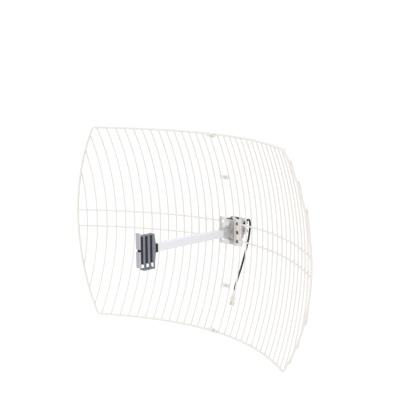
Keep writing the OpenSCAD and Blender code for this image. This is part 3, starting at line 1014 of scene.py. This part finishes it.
@dataclass
class Connector(Assembly):
    """The threaded jack and its crimp ferrule at the end of the loose cable."""

    start: Vector
    facing: Vector
    ferrule_r: float = 4.0
    ferrule_h: float = 12.0
    cable_r: float = 3.05
    thread_r: float = 7.94
    thread_pitch: float = 1.058
    barrel_h: float = 12.0

    def build(self) -> list[Object]:
        """Makes the ferrule and the jack.

        Returns:
            The two pieces.
        """
        return [self._ferrule(), self._jack()]

    def _stand(self, piece: Object) -> Object:
        """Turns a piece made along +Z to run on from the cable.

        Args:
            piece: A piece made at the origin.

        Returns:
            The piece, in its place.
        """
        side = Vector((1.0, 0.0, 0.0))
        turn = Matrix((side, self.facing.cross(side), self.facing)).transposed().to_4x4()
        piece.matrix_world = Matrix.Translation(self.start) @ turn
        return Bench.settle(piece)

    def _ferrule(self) -> Object:
        """A crimped sleeve, pinched to a hexagon along its middle."""
        r, h = self.ferrule_r, self.ferrule_h
        piece = Bench.lathe("crimp_ferrule", [
            (self.cable_r, -1.2), (r - 0.4, -1.2), (r, -0.8), (r, 1.6), (r - 0.5, 2.0),
            (r - 0.5, h - 2.2), (r, h - 1.8), (r, h), (0, h),
        ], 30)
        for corner in piece.data.vertices:
            height = corner.co.z / MM
            if 1.9 < height < h - 2.1:
                a = math.atan2(corner.co.y, corner.co.x)
                off_flat = (a + math.pi / 6) % (math.pi / 3) - math.pi / 6
                reach = (r - 0.85) / math.cos(off_flat) * MM
                corner.co.x, corner.co.y = reach * math.cos(a), reach * math.sin(a)
        piece.data.update()
        return self.hand_over(self._stand(piece), NICKEL, "connector_ferrule")

    def _jack(self) -> Object:
        """The body: a stepped neck, a hexagon, a shoulder and the threaded barrel."""
        h = self.ferrule_h
        t = self.thread_r
        top = h + 22 + self.barrel_h
        barrel = Bench.lathe("jack", [
            (0, h), (5.2, h), (6.0, h + 0.6), (6.0, h + 6.0), (0, h + 6.0),
        ], 40)
        nut = Bench.hexagon("jack_hexagon", 15.0, 8.0)
        nut.location.z = (h + 6) * MM
        Bench.settle(nut)
        shell = Bench.lathe("jack_shell", [
            (3.5, h + 14.0), (8.6, h + 14.0), (9.0, h + 14.5), (9.0, h + 16.5), (8.6, h + 17.0),
            (6.75, h + 17.0), (6.75, h + 21.6), *thread(t, self.thread_pitch, h + 22.0, top - 0.8),
            (t - 0.9, top), (4.3 + 0.4, top), (4.3, top - 0.4), (4.3, h + 20.0), (3.5, h + 20.0),
        ], 48, closed=True)
        piece = Bench.join([barrel, nut, shell], "connector_jack")
        return self.hand_over(self._stand(piece), NICKEL, "connector_body")


@dataclass
class LooseCable(Assembly):
    """The short coaxial cable that hangs from the gland, with its jack."""

    diameter: float = 6.1
    connector_tilt: float = 16.0
    step: float = 0.0025
    route: tuple[Point, ...] = (
        (0, 22, 0), (0.1, 28, 0.1), (1.4, 36.2, 2.5), (5.7, 46.5, 11.4), (8.1, 56.4, 21.9),
        (5.9, 69.6, 27), (0.4, 82.3, 22.9), (-4.4, 89.9, 11.4), (-6.8, 92.1, -2.9),
        (-7.4, 90.3, -17.5), (-6.5, 86.5, -32), (-5.5, 81, -46), (-4, 75, -59.5),
        (-2.5, 66, -78), (-1, 56, -99), (0, 46.5, -119), (0.5, 36.5, -138), (0.5, 27.5, -156),
        (0, 20, -173), (0, 16, -187),
    )

    @property
    def hang(self) -> Vector:
        """The direction in which the cable ends and the connector runs on."""
        t = math.radians(self.connector_tilt)
        return Vector((0.0, -math.sin(t), -math.cos(t)))

    def centreline(self) -> np.ndarray:
        """A smooth curve through the route's points, straight out of the gland.

        Returns:
            Points about one step apart, in metres.
        """
        p = np.array([at_vertex(*point) for point in self.route])
        h = np.linalg.norm(np.diff(p, axis=0), axis=1)
        t = np.concatenate([[0.0], np.cumsum(h)])
        n = len(p)
        slope = np.diff(p, axis=0) / h[:, None]
        ends = np.array([Axis.BACK.value, self.hang])
        a, b = np.zeros((n, n)), np.zeros((n, 3))
        for i in range(1, n - 1):
            a[i, i - 1:i + 2] = h[i - 1], 2 * (h[i - 1] + h[i]), h[i]
            b[i] = 6 * (slope[i] - slope[i - 1])
        a[0, :2], b[0] = (2 * h[0], h[0]), 6 * (slope[0] - ends[0])
        a[-1, -2:], b[-1] = (h[-1], 2 * h[-1]), 6 * (ends[1] - slope[-1])
        m = np.linalg.solve(a, b)
        line = []
        for s in np.linspace(0, t[-1], round(t[-1] / self.step) + 1):
            i = min(max(int(np.searchsorted(t, s, side="right")) - 1, 0), n - 2)
            u, v = (t[i + 1] - s) / h[i], (s - t[i]) / h[i]
            line.append(
                u * p[i] + v * p[i + 1]
                + ((u**3 - u) * m[i] + (v**3 - v) * m[i + 1]) * h[i] ** 2 / 6
            )
        return np.array(line)

    def build(self) -> Object:
        """Makes the cable and its connector.

        Returns:
            The cable.
        """
        line = self.centreline()
        cable = Bench.curve("coax_pigtail", line, self.diameter, 4)
        self.hand_over(cable, COAX_JACKET, "pigtail")
        jack = Connector(at_vertex(*self.route[-1]), self.hang).build()
        return cable


@dataclass
class Grid(Assembly):
    """The welded wire grid: uprights, rims, crossbars and the welds between them."""

    shape: Paraboloid = field(default_factory=Paraboloid)
    sides: int = 14
    nugget: Point = (2.4, 1.3, 2.4)
    bar_inset: float = 4.0
    bar_gap: float = 0.4

    def build(self) -> None:
        """Makes both halves of the grid."""
        patterns = self._wire_patterns()
        for half, sign in (("left", -1), ("right", 1)):
            self._wires(half, sign, patterns)
            self._rim(half, sign)
            for height, level in (("upper", 1), ("lower", -1)):
                self._crossbar(half, sign, height, level)
            self._welds(half, sign)
        Bench.drop(*patterns.values())

    def _wire_patterns(self) -> dict[float, Object]:
        """One upright wire of each length, bent in the plane x = 0 with its middle at y = 0."""
        tops = sorted({round(self.shape.wire_top(x), 4) for x in self.shape.wire_xs()})
        return {top: self._upright(top) for top in tops}

    def _upright(self, top: float) -> Object:
        """One upright wire, bent to the surface and flat at its ends.

        Args:
            top: How far it reaches above and below its middle.

        Returns:
            The wire, with its middle at the origin.
        """
        sag = top * top / (4 * self.shape.focal)
        bend_r = 2 * self.shape.focal + sag / 2
        half_angle = math.asin(top / bend_r)
        middle = Vector((0.0, -bend_r * MM, 0.0))
        Bench.clear()
        bpy.ops.mesh.primitive_circle_add(
            vertices=self.sides, radius=self.shape.wire_d / 2 * MM, fill_type="NGON"
        )
        wire = bpy.context.object
        wire.matrix_world = (
            Matrix.Translation(middle)
            @ Matrix.Rotation(-half_angle, 4, "X")
            @ Matrix.Translation(-middle)
        )
        Bench.settle(wire)
        Bench.edit(wire)
        bpy.ops.mesh.spin(
            steps=48, angle=2 * half_angle, center=tuple(middle), axis=(-1.0, 0.0, 0.0)
        )
        bpy.ops.mesh.select_all(action="SELECT")
        bpy.ops.mesh.remove_doubles(threshold=MM / 1000)
        bpy.ops.mesh.normals_make_consistent(inside=False)
        Bench.close()
        return wire

    def _wires(self, half: str, sign: int, patterns: dict[float, Object]) -> None:
        """Copies the wires to their places, in groups that match the CAD nodes.

        Args:
            half: Which half of the grid.
            sign: -1 for the left half, and 1 for the right.
            patterns: A wire for each length.
        """
        xs = self.shape.wire_xs()
        for g, group in enumerate(("inner", "middle", "outer")):
            wires = []
            for x in xs[g * self.shape.group_size:(g + 1) * self.shape.group_size]:
                wire = Bench.copy(patterns[round(self.shape.wire_top(x), 4)], "wire")
                wire.location = at_vertex(sign * x, self.shape.depth(x, 0), self.shape.rise)
                wires.append(Bench.settle(wire))
            name = f"{half}_{group}"
            self.hand_over(Bench.join(wires, f"uprights_{name}"), POWDER_COAT, f"wires_{name}")

    def _rim(self, half: str, sign: int) -> None:
        """One half's rim rod, in front of the wires' ends.

        Args:
            half: Which half of the grid.
            sign: -1 for the left half, and 1 for the right.
        """
        path = [
            self.shape.in_front(sign * x, z, self.shape.rim_lift)
            for x, z in self.shape.half_outline()
        ]
        rim = Bench.rod(f"rim_rod_{half}", path, self.shape.rim_d, 4)
        self.hand_over(rim, POWDER_COAT, f"rim_{half}")

    def _crossbar(self, half: str, sign: int, height: str, level: int) -> None:
        """One crossbar rod, across the fronts of the wires.

        Args:
            half: Which half of the grid.
            sign: -1 for the left half, and 1 for the right.
            height: Which crossbar.
            level: 1 for the upper one, and -1 for the lower.
        """
        start = self.shape.first_x + self.shape.pitch - self.bar_inset
        end = self.shape.side_x(self.shape.bar_z) - self.shape.rim_d / 2 - self.bar_gap
        path = [
            self.shape.in_front(sign * x, level * self.shape.bar_z, self.shape.bar_lift)
            for x in np.linspace(start, end, 48)
        ]
        bar = Bench.rod(f"crossbar_rod_{half}_{height}", path, self.shape.bar_d, 3)
        self.hand_over(bar, POWDER_COAT, f"crossbar_{half}_{height}")

    def _welds(self, half: str, sign: int) -> None:
        """The flattened nuggets where the rods cross the wires.

        Args:
            half: Which half of the grid.
            sign: -1 for the left half, and 1 for the right.
        """
        Bench.clear()
        bpy.ops.mesh.primitive_ico_sphere_add(subdivisions=2, radius=MM)
        pattern = bpy.context.object
        pattern.scale = self.nugget
        Bench.settle(pattern)
        nuggets = []
        for x in self.shape.wire_xs():
            rows = [self.shape.wire_top(x), -self.shape.wire_top(x)]
            if x > self.shape.first_x:
                rows += [self.shape.bar_z, -self.shape.bar_z]
            for z in rows:
                nugget = Bench.copy(pattern, "nugget")
                nugget.location = self.shape.in_front(sign * x, z, self.shape.wire_d / 2)
                nuggets.append(Bench.settle(nugget))
        Bench.drop(pattern)
        self.hand_over(Bench.join(nuggets, f"welds_{half}"), POWDER_COAT, angle=60)


@dataclass(frozen=True)
class Metric:
    """One size of hexagon bolt and nut, in millimetres."""

    diameter: float
    flats: float
    head: float
    nut: float
    pitch: float


M10 = Metric(10.0, 16.0, 6.4, 8.0, 1.5)
M8 = Metric(8.0, 13.0, 5.3, 6.5, 1.25)
M5 = Metric(5.0, 8.0, 3.5, 4.0, 0.8)
M4 = Metric(4.0, 7.0, 2.8, 3.2, 0.7)


class Hardware:
    """Patterns of bolts, nuts and washers, made along +Z from the face that bears."""

    @staticmethod
    def bolt(name: str, size: Metric, length: float, plain: float) -> Object:
        """A bolt with its head below z = 0 and its shank above.

        Args:
            name: The pattern's name.
            size: Its thread size.
            length: Length of the shank.
            plain: How much of the shank has no thread.

        Returns:
            The bolt, at the origin.
        """
        head = Bench.hexagon(name, size.flats, size.head)
        head.rotation_euler.x = math.pi
        Bench.settle(head)
        shank = Hardware.stud(name + "_shank", size, -0.3, plain, length)
        return Bench.join([head, shank], name)

    @staticmethod
    def stud(name: str, size: Metric, start: float, plain: float, end: float) -> Object:
        """A round bar from start to end, threaded from plain onwards.

        Args:
            name: The pattern's name.
            size: Its thread size.
            start: Height of its lower end.
            plain: Height where the thread begins.
            end: Height of its upper end.

        Returns:
            The bar, at the origin.
        """
        r = size.diameter / 2
        tip = end - size.pitch / 2
        return Bench.lathe(name, [
            (0, start), (r, start), (r, plain), *thread(r, size.pitch, plain + 0.3, tip),
            (r - 0.7 * size.pitch, end), (0, end),
        ], 32)

    @staticmethod
    def nut(name: str, size: Metric) -> Object:
        """A nut that stands on z = 0."""
        return Bench.hexagon(name, size.flats, size.nut, size.diameter - size.pitch * 0.5)

    @staticmethod
    def washer(name: str, bore: float, outer: float, height: float) -> Object:
        """A flat washer that stands on z = 0, rounded over at its stamped edge.

        Args:
            name: The pattern's name.
            bore: Diameter of the hole.
            outer: Outer diameter.
            height: Thickness.

        Returns:
            The washer, at the origin.
        """
        hole, rim = bore / 2, outer / 2
        return Bench.lathe(name, [
            (hole, 0), (rim - 0.1, 0), (rim, 0.15), (rim, height - 0.4),
            (rim - 0.15, height - 0.12), (rim - 0.45, height), (hole + 0.2, height),
            (hole, height - 0.15),
        ], 44, closed=True)


@dataclass
class HalfJoint(Assembly):
    """The centre plates, and the tabs that bolt the grid's two halves together."""

    shape: Paraboloid = field(default_factory=Paraboloid)
    bolt_x: float = 6.0
    tab_t: float = 2.0
    inner_z: float = 167.0
    bolt_length: float = 12.0
    edge_inset: float = 2.0

    def build(self) -> None:
        """Makes the plates, the tabs, the bolts and the nuts."""
        for half in ("left", "right"):
            self.ease(f"plate_{half}", f"centre_plate_{half}", POWDER_COAT, 0.35)
            self.ease(f"tabs_{half}", f"joint_tabs_{half}", POWDER_COAT, 0.3)
        bolt = Hardware.bolt("half_bolt", M5, self.bolt_length, 1.0)
        nut = Hardware.nut("half_nut", M5)
        bolts, nuts = [], []
        outer_z = self.shape.half_height - self.edge_inset
        outer_lift = self.shape.wire_d / 2 + self.shape.rim_d
        inner_lift = self.shape.wire_d / 2
        for z, lift in ((outer_z, outer_lift), (self.inner_z, inner_lift)):
            for level in (1, -1):
                tilt = math.atan(level * z / (2 * self.shape.focal))
                facing = Vector((0.0, math.cos(tilt), math.sin(tilt)))
                depth = self.shape.depth(self.shape.first_x, z)
                foot = at_vertex(self.bolt_x, depth, level * z + self.shape.rise)
                head = foot - facing * (lift + 2 * self.tab_t) * MM
                bolts.append(Bench.place(Bench.copy(bolt, "bolt"), head, facing, 30))
                nuts.append(
                    Bench.place(Bench.copy(nut, "nut"), foot - facing * lift * MM, facing, 30)
                )
        Bench.drop(bolt, nut)
        self.hand_over(Bench.join(bolts, "half_bolts"), ZINC_STEEL, "tab_bolts")
        self.hand_over(Bench.join(nuts, "half_nuts"), ZINC_STEEL, "tab_nuts")


@dataclass
class FeedMount(Assembly):
    """The flange casting with its two bolts, and the screw that holds the arm."""

    bolt_z: float = 27.5
    washer_y: float = -7.0
    nut_y: float = 6.85
    bolt_length: float = 24.0
    screw_y: float = -24.0
    socket_top: float = 14.0

    def build(self) -> None:
        """Makes the casting, its bolts, washers and nuts, and the screw."""
        self.ease("feed_flange", "flange_casting", CAST_ALLOY, 1.2, 3)
        washer = Hardware.washer("flange_washer", 10.4, 20.0, 2.0)
        bolt = Hardware.bolt("flange_bolt", M10, self.bolt_length, 6.0)
        nut = Hardware.nut("flange_nut", M10)
        for height, level in (("upper", 1), ("lower", -1)):
            for pattern, y in ((washer, self.washer_y), (bolt, self.washer_y), (nut, self.nut_y)):
                piece = Bench.copy(pattern, f"{pattern.name}_{height}")
                place = at_vertex(0, y, level * self.bolt_z)
                Bench.place(piece, place, Axis.BACK.value, 30)
                node = pattern.name.replace("flange", "feed")
                self.hand_over(piece, ZINC_STEEL, f"{node}_{height}")
        Bench.drop(washer, bolt, nut)
        screw = Hardware.bolt("socket_screw", M4, 5.0, 0.5)
        Bench.place(screw, at_vertex(0, self.screw_y, self.socket_top), Axis.DOWN.value)
        self.hand_over(screw, ZINC_STEEL, "arm_screw")


@dataclass
class FeedHead(Assembly):
    """The square arm, and the cage, cover and splash plates round the dipole."""

    def build(self) -> None:
        """Makes the arm and the head's mouldings and plates."""
        self.ease("feed_arm", "square_arm", ARM_ALUMINIUM, 0.6, 3)
        self.ease("feed_collar", "arm_collar", BLACK_PLASTIC, 0.8)
        self.ease("feed_cage", "head_cage", CAGE_GREY, 0.5)
        self.ease("dipole_cover", "cover_shell", BLACK_PLASTIC, 0.6)
        for height in ("upper", "lower"):
            node = f"splash_plate_{height}"
            self.ease(node, f"grooved_splash_{height}", SPLASH_ALUMINIUM, 0.4)


@dataclass
class TiltBracket(Assembly):
    """The pressing behind the centre plates, and the cable gland in its hole."""

    bore: float = 3.15
    neck_r: float = 6.0
    neck: tuple[float, float] = (2.85, 6.85)
    flange_r: float = 8.5
    flange_t: float = 3.0
    taper: tuple[float, float] = (6.5, 4.2)
    end: float = 22.0
    grooves: int = 4

    def build(self) -> None:
        """Makes the pressing and the gland."""
        # The pressing is painted near black as painted shade behind the centre plate's slots and
        # beside the flange casting.
        self.ease("tilt_bracket", "bracket_pressing", PAINTED_SHADE_STEEL, 0.5)
        piece = Bench.lathe("ribbed_gland", self._profile(), 36, closed=True)
        Bench.place(piece, at_vertex(0, 0, 0), Axis.BACK.value)
        self.hand_over(piece, GLAND_RUBBER, "cable_gland")

    def _profile(self) -> Profile:
        """The gland's section: a neck, a flange, and a taper with flexing grooves.

        Returns:
            Points (radius, height) round the section.
        """
        low, seat = self.neck
        rim = seat + self.flange_t
        start = rim + 1.0

        def taper_r(y: float) -> float:
            """Radius of the taper at y."""
            wide, slim = self.taper
            return wide + (slim - wide) * (y - start) / (self.end - start)

        points: Profile = [
            (self.bore, low), (self.neck_r, low), (self.neck_r, seat), (self.flange_r - 0.3, seat),
            (self.flange_r, seat + 0.3), (self.flange_r, rim - 0.4), (self.flange_r - 0.4, rim),
            (self.taper[0], start),
        ]
        for i in range(self.grooves):
            y = start + 1.6 + i * 2.5
            points += [
                (taper_r(y), y), (taper_r(y) - 0.7, y + 0.3), (taper_r(y) - 0.7, y + 0.9),
                (taper_r(y + 1.2), y + 1.2),
            ]
        tip = taper_r(self.end)
        return points + [(tip, self.end - 0.3), (tip - 0.3, self.end), (self.bore, self.end)]


@dataclass
class MastClamp(Assembly):
    """The clamp plate, its saddle and U-bolts, and the pivot and lock bolts."""

    body: Body = Body.MOUNT
    mast_y: float = 61.0
    bend_x: float = -50.0
    bend_r: float = 24.0
    thread_x: float = -37.0
    leg_x: float = -13.0
    leg_z: float = 13.0
    plate_right: float = -24.3
    plate_left: float = -28.3
    washer_t: float = 1.6
    spring_t: float = 2.0
    pivot_y: float = 34.0
    head_x: float = -19.1
    bolt_length: float = 25.0
    pivot_z: float = -34.0
    lock_z: float = 30.0

    def build(self) -> None:
        """Makes everything that stays with the mast."""
        self.ease("mast_plate", "clamp_plate", GALVANISED, 0.5)
        self.ease("mast_saddle", "clamp_saddle", CAST_ALLOY, 1.2, 3)
        self.ease("u_bolt_spring_washers", "split_washers", ZINC_STEEL, 0.25)
        self._u_bolts()
        self._leg_hardware()
        self._through_bolts()

    def _u_bolts(self) -> None:
        """Both U-bolts: a bent rod with two threaded legs."""
        bend = [
            at_vertex(
                self.bend_x - self.bend_r * math.sin(a), self.mast_y - self.bend_r * math.cos(a), 0
            )
            for a in np.linspace(0, math.pi, 40)
        ]
        legs = [self.mast_y - self.bend_r, self.mast_y + self.bend_r]
        ends = [at_vertex(self.thread_x + 0.3, y, 0) for y in legs]
        parts = [Bench.rod("u_rod", [ends[0], *bend, ends[1]], M8.diameter, 4)]
        for y in legs:
            stud = Hardware.stud("leg_thread", M8, 0.0, 0.1, self.leg_x - self.thread_x)
            parts.append(Bench.place(stud, at_vertex(self.thread_x, y, 0), Axis.RIGHT.value))
        pattern = Bench.join(parts, "u_pattern")
        for height, level in (("upper", 1), ("lower", -1)):
            u_bolt = Bench.copy(pattern, f"bent_u_bolt_{height}")
            u_bolt.location.z = level * self.leg_z * MM
            self.hand_over(Bench.settle(u_bolt), ZINC_STEEL, f"u_bolt_{height}")
        Bench.drop(pattern)

    def _leg_hardware(self) -> None:
        """The flat washers and the nuts on the four legs."""
        washer = Hardware.washer("leg_washer", 8.4, 16.0, self.washer_t)
        nut = Hardware.nut("leg_nut", M8)
        nut_x = self.plate_right + self.washer_t + self.spring_t
        for pattern, x, node in (
            (washer, self.plate_right, "u_bolt_washers"), (nut, nut_x, "u_bolt_nuts")
        ):
            copies = [
                Bench.place(
                    Bench.copy(pattern, "leg_part"),
                    at_vertex(x, self.mast_y + side * self.bend_r, level * self.leg_z),
                    Axis.RIGHT.value,
                )
                for side in (-1, 1)
                for level in (-1, 1)
            ]
            self.hand_over(Bench.join(copies, f"{pattern.name}_set"), ZINC_STEEL, node)
        Bench.drop(washer, nut)

    def _through_bolts(self) -> None:
        """The pivot bolt and the lock bolt, each with two washers and a nut."""
        bolt = Hardware.bolt("through_bolt", M8, self.bolt_length, 9.0)
        washer = Hardware.washer("through_washer", 8.4, 16.0, self.washer_t)
        nut = Hardware.nut("through_nut", M8)
        for role, z in (("pivot", self.pivot_z), ("lock", self.lock_z)):
            head = self._on_axis(bolt, f"{role}_hexagon_bolt", self.head_x, z)
            self.hand_over(head, ZINC_STEEL, f"{role}_bolt")
            pair = [
                self._on_axis(washer, "washer", x, z) for x in (self.head_x, self.plate_left)
            ]
            self.hand_over(Bench.join(pair, f"{role}_washer_pair"), ZINC_STEEL, f"{role}_washers")
            nut_x = self.plate_left - self.washer_t
            end = self._on_axis(nut, f"{role}_hexagon_nut", nut_x, z)
            self.hand_over(end, ZINC_STEEL, f"{role}_nut")
        Bench.drop(bolt, washer, nut)

    def _on_axis(self, pattern: Object, name: str, x: float, z: float) -> Object:
        """Places a copy of a pattern on the axis of a through bolt.

        Args:
            pattern: The bolt, washer or nut to copy.
            name: The copy's name.
            x: Where the face that bears goes along the axis.
            z: Height of the axis.

        Returns:
            The copy.
        """
        place = at_vertex(x, self.pivot_y, z)
        return Bench.place(Bench.copy(pattern, name), place, Axis.LEFT.value)


def carry_over() -> None:
    """Gives every CAD node that still shows the finish of its slot."""
    finishes = {finish.slot: finish for finish in FINISHES}
    slots = {part["node"]: part["material_slot"] for part in frame["record"]["subparts"]}
    for name, node in frame["nodes"].items():
        node.data.materials.clear()
        node.data.materials.append(finishes[slots[name]].material())
        if not node.hide_render:
            log.info("%s: CAD shape, %s", name, slots[name])


def main() -> None:
    """Builds the camera, the cable and the rest of the antenna, and then the studio."""
    logging.basicConfig(level=logging.INFO, format="%(message)s")
    Viewpoint().build()
    for part in (
        LooseCable(), Grid(), HalfJoint(), FeedMount(), FeedHead(), TiltBracket(), MastClamp()
    ):
        part.build()
    carry_over()
    Studio().build()
    Bench.clear()


if __name__ == "__main__":
    main()
